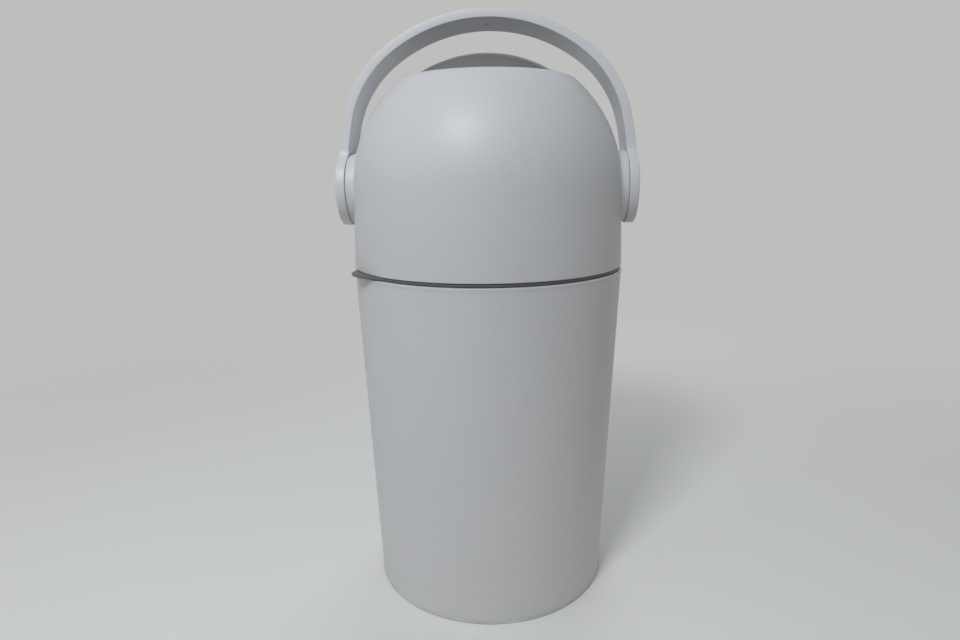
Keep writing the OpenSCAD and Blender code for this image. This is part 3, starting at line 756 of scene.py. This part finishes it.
def make_handle():
    half = handle_line()
    stations = [(x, a, z, w, n) for x, a, z, w, n in half]
    stations += [(-x, math.pi - a, z, w, n) for x, a, z, w, n in reversed(half[:-1])]
    corner = 5                               # steps round each edge
    across = 8                               # faces across each broad side
    points, faces, rings = [], [], []
    for x, angle, z, w, normal in stations:
        out = Vector((math.cos(angle), math.sin(angle)))      # outwards, in (X, Z)
        along = Vector((-math.sin(angle), math.cos(angle)))   # along the band, up on the right
        if x < 0 or angle > math.pi / 2 + 1e-6:
            along = -along
        ring = []
        inset_w = w - band_edge * math.cos(normal)
        shift = -band_edge * math.sin(normal)

        def add(y, slip, t):
            p = Vector((x, z)) + out * t + along * slip
            ring.append(len(points))
            points.append((p.x, y, p.y))

        low_t = band_t / 2 - band_edge
        for side in (1, -1):
            for i in range(across + 1):      # broad side
                share = side * (1 - 2 * i / across)
                add(share * max(inset_w, 0.0), shift, side * band_t / 2)
            for i in range(1, corner * 2):   # round edge down to the other broad side
                if i < corner:
                    a = math.pi / 2 * i / corner
                    grow, t = band_edge * math.sin(a), side * (low_t + band_edge * math.cos(a))
                elif i == corner:
                    grow, t = band_edge, side * low_t
                else:
                    a = math.pi / 2 * (i - corner) / corner
                    grow, t = band_edge * math.cos(a), -side * (low_t + band_edge * math.sin(a))
                y = -side * (inset_w + grow * math.cos(normal))
                slip = shift + grow * math.sin(normal)
                add(y, slip, t)
                if i == corner:
                    add(y, slip, -t)
        rings.append(ring)
    n = len(rings[0])
    for first, second in zip(rings, rings[1:]):
        for k in range(n):
            m = (k + 1) % n
            faces.append((first[k], first[m], second[m], second[k]))
    handle = piece_from("handle_hoop", points, faces)
    face = disc_x + band_t
    recess = [(0, face - cap_t), (cap_r, face - cap_t), (cap_r, face - recess_lip),
              (cap_r + recess_lip, face), (cap_r + recess_lip + mm, face + mm), (0, face + mm)]
    relief_r = boss_r + 0.5 * boss_relief
    relief_x = boss_x - relief_depth
    relief = rounded([(0, relief_x), (relief_r + mm, relief_x), (relief_r, boss_x - mm, edge_small),
                      (relief_r, disc_x), (0, disc_x)])
    for section in (recess, relief):
        cut(handle, *[lathe("recess", [(r, side * x) for r, x in section], cap_turns, axis="X")
                      for side in (-1, 1)])
    under = half[-1][2] - band_t / 2
    dimple = [(0, gate_nub_z), (gate_nub_r, gate_nub_z), (gate_nub_foot_r, gate_depth),
              (gate_floor_r, gate_depth), (gate_edge_r, 0.0), (gate_out_r, -mm), (0, -mm)]
    cut(handle, lathe("gate", [(r, under + z) for r, z in dimple], gate_turns))
    place(leaned(handle), "drum", "white_plastic", handle_plastic, "handle")


make_handle()


def make_cap(name, side):
    face = disc_x + band_t
    floor_x = face - cap_t + cap_floor_gap
    rim_r = cap_r - cap_clear
    section = rounded([(0, floor_x), (rim_r, floor_x), (rim_r, face - cap_sink, cap_round), (0, face)])
    cap = lathe(name + "_cover", [(r, side * x) for r, x in section], cap_turns, axis="X")
    place(leaned(cap), "drum", "white_plastic", handle_plastic, name)


make_cap("handle_cap_left", -1)
make_cap("handle_cap_right", 1)

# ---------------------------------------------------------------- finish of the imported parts

slots = {part["node"]: part["material_slot"] for part in frame["record"]["subparts"]}
for name, node in nodes.items():
    set_material(node, finish[slots[name]])

# ---------------------------------------------------------------- floor and light


backdrop_tone = (0.515, 0.515, 0.507)
soft_tone = (0.262, 0.272, 0.282)
far_floor_tone = (0.17, 0.17, 0.17)
floor_tones = (0.86, 0.86, 0.85), (0.88, 0.88, 0.87)
bounce_tone = (0.68, 0.65, 0.60)             # the floor's colour for rays that light the bin from below
floor_r = 7
floor_t = 0.02
fade_from = 0.35                             # metres from the bin where the floor starts to fade
fade_to = 1.5                                # and where it has the backdrop's tone


def seen_rays(tree):
    """1 for rays that show the backdrop: from the camera, in reflections and through clear things."""
    rays = tree.nodes.new("ShaderNodeLightPath")
    total = rays.outputs["Is Camera Ray"]
    for kind in ("Is Glossy Ray", "Is Transmission Ray"):
        n = tree.nodes.new("ShaderNodeMath")
        n.operation = "MAXIMUM"
        tree.links.new(total, n.inputs[0])
        tree.links.new(rays.outputs[kind], n.inputs[1])
        total = n.outputs[0]
    return total


def make_floor():
    """Pale floor that keeps the bin's shadow and fades into the backdrop's tone further out."""
    floor = lathe("floor", [(0, -floor_t), (floor_r, -floor_t), (floor_r, 0), (0, 0)], floor_turns)
    s = Shader("floor")
    seen = seen_rays(s.tree)
    pale = s.mix(s.noise(3, 5, 0.6), *floor_tones)
    s.join(s.mix(seen, bounce_tone, pale), s.bsdf.inputs["Base Color"])
    s.bsdf.inputs["Roughness"].default_value = 0.8
    far = s.near((0, 0, 0), fade_from, fade_to)
    glow = s.node("ShaderNodeEmission")
    s.join(s.mix(seen, far_floor_tone, backdrop_tone), glow.inputs["Color"])
    blend = s.node("ShaderNodeMixShader")
    s.join(far, blend.inputs["Fac"])
    s.join(glow.outputs["Emission"], blend.inputs[1])
    s.join(s.bsdf.outputs["BSDF"], blend.inputs[2])
    s.join(blend.outputs["Shader"], s.output.inputs["Surface"])
    set_material(floor, s.material)


def area_light(name, position, target, size, watts, colour):
    data = bpy.data.lights.new(name, "AREA")
    data.size = size
    data.energy = watts
    data.color = colour
    lamp = bpy.data.objects.new(name, data)
    direction = Vector(target) - Vector(position)
    lamp.rotation_euler = direction.to_track_quat("-Z", "Y").to_euler()
    lamp.location = position
    scene.collection.objects.link(lamp)


def make_world():
    """Soft even light all round, in front of a plain pale backdrop."""
    world = bpy.data.worlds.new("studio")
    world.use_nodes = True
    scene.world = world
    tree = world.node_tree
    tree.nodes.clear()
    shades = []
    for tone in (soft_tone, backdrop_tone):
        sky = tree.nodes.new("ShaderNodeBackground")
        sky.inputs["Color"].default_value = (*tone, 1)
        shades.append(sky)
    mix = tree.nodes.new("ShaderNodeMixShader")
    out = tree.nodes.new("ShaderNodeOutputWorld")
    tree.links.new(seen_rays(tree), mix.inputs["Fac"])
    for sky, socket in zip(shades, (mix.inputs[1], mix.inputs[2])):
        tree.links.new(sky.outputs["Background"], socket)
    tree.links.new(mix.outputs["Shader"], out.inputs["Surface"])


make_floor()
make_world()
middle = (0, 0, 0.36)
area_light("key", (-0.50, -1.25, 1.75), middle, 0.42, 15.5, (0.975, 0.99, 1.0))
area_light("left_fill", (-1.5, -0.7, 0.9), middle, 1.2, 2.4, (0.95, 0.975, 1.0))
area_light("back_fill", (0.3, 1.9, 1.25), middle, 1.5, 10, (0.97, 0.985, 1.0))

scene.view_settings.view_transform = "Standard"
